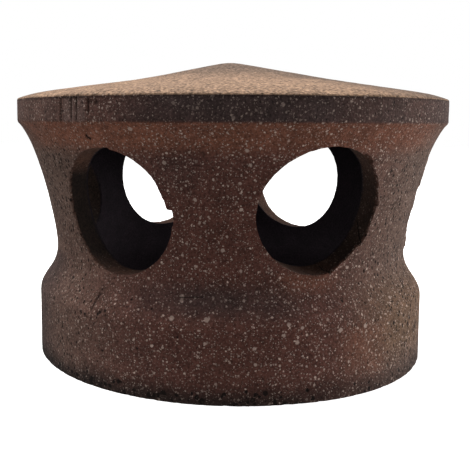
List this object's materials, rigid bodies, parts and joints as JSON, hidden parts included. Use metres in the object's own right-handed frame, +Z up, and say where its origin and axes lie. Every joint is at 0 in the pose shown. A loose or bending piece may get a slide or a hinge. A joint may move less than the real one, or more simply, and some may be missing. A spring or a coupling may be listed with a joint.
{
  "type": "roof vent lantern",
  "caption": "Hollow round stoneware cap with a flat rim, a low conical top, a drawn-in waist, a plain collar and round side holes that let air out of a roof vent pipe.",
  "frame": {"origin": "centre of the collar's underside, on the axis", "axes": "+Z up along the axis to the tip of the lid, -Y is the front, between two holes, and X runs near the two side holes"},
  "size_m": [0.2, 0.2, 0.1346],
  "materials": {
    "stoneware": "matte"
  },
  "bodies": {
    "root": {"vent_lantern": "stoneware"}
  },
  "joints": []
}
